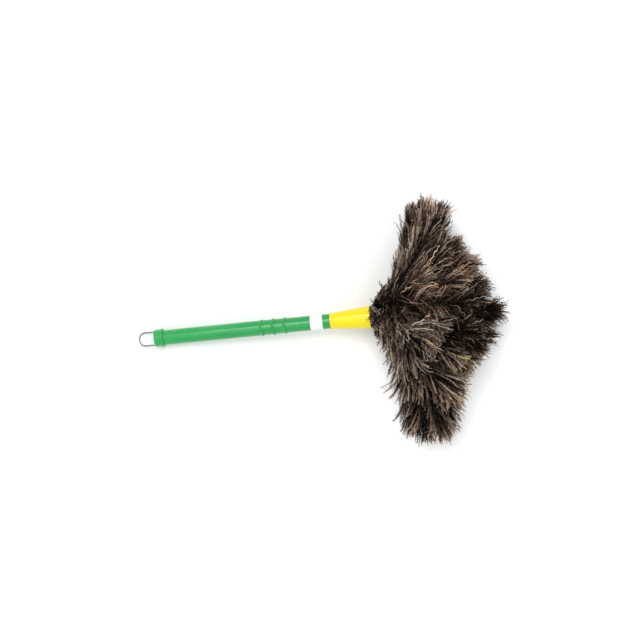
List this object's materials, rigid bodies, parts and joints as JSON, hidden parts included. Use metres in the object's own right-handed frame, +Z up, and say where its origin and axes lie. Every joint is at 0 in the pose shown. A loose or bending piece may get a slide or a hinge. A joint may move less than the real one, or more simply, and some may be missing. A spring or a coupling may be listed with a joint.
{
  "type": "feather duster",
  "caption": "Ostrich feather duster with a green plastic tube handle, ramped grip bands, a yellow conical collar and a pivoting wire hanging loop in the end cap.",
  "frame": {"origin": "bottom centre of the bounding box of the duster as it lies on a level surface", "axes": "+X from the hanging loop towards the feather head, level; +Z up from the surface; +Y to the left of +X, across the fanned head. The handle rises by 6 degrees towards the head."},
  "size_m": [0.609, 0.4052, 0.1681],
  "materials": {
    "green_plastic": "moulded, semi-gloss",
    "yellow_plastic": "moulded, semi-gloss",
    "loop_wire": "zinc-plated wire",
    "paper": "matt, blank",
    "core_wood": "turned, bare",
    "fixing_steel": "plain",
    "binding_wire": "annealed wire",
    "plume": "soft ostrich barbs, dark brown to grey with lighter tips"
  },
  "bodies": {
    "duster": {"binding_inner": "binding_wire", "binding_middle": "binding_wire", "binding_outer": "binding_wire", "collar": "yellow_plastic", "core_pin": "fixing_steel", "core_rod": "core_wood", "end_cap": "green_plastic", "feather_inner_01": "plume", "feather_inner_02": "plume", "feather_inner_03": "plume", "feather_inner_04": "plume", "feather_inner_05": "plume", "feather_inner_06": "plume", "feather_inner_07": "plume", "feather_inner_08": "plume", "feather_inner_09": "plume", "feather_inner_10": "plume", "feather_inner_11": "plume", "feather_middle_01": "plume", "feather_middle_02": "plume", "feather_middle_03": "plume", "feather_middle_04": "plume", "feather_middle_05": "plume", "feather_middle_06": "plume", "feather_middle_07": "plume", "feather_middle_08": "plume", "feather_middle_09": "plume", "feather_middle_10": "plume", "feather_middle_11": "plume", "feather_middle_12": "plume", "feather_middle_13": "plume", "feather_middle_14": "plume", "feather_outer_01": "plume", "feather_outer_02": "plume", "feather_outer_03": "plume", "feather_outer_04": "plume", "feather_outer_05": "plume", "feather_outer_06": "plume", "feather_outer_07": "plume", "feather_outer_08": "plume", "feather_outer_09": "plume", "feather_outer_10": "plume", "feather_outer_11": "plume", "feather_outer_12": "plume", "feather_outer_13": "plume", "feather_outer_14": "plume", "feather_outer_15": "plume", "feather_outer_16": "plume", "feather_outer_17": "plume", "feather_outer_18": "plume", "handle_tube": "green_plastic", "label_band": "paper"},
    "loop": {"hanging_loop": "loop_wire"}
  },
  "joints": [
    {"name": "loop_pivot", "type": "hinge", "parent": "duster", "child": "loop", "pos_m": [-0.27234, 0.01748, 0.01439], "axis": [0, 1, 0], "range_deg": [0, 33]}
  ]
}
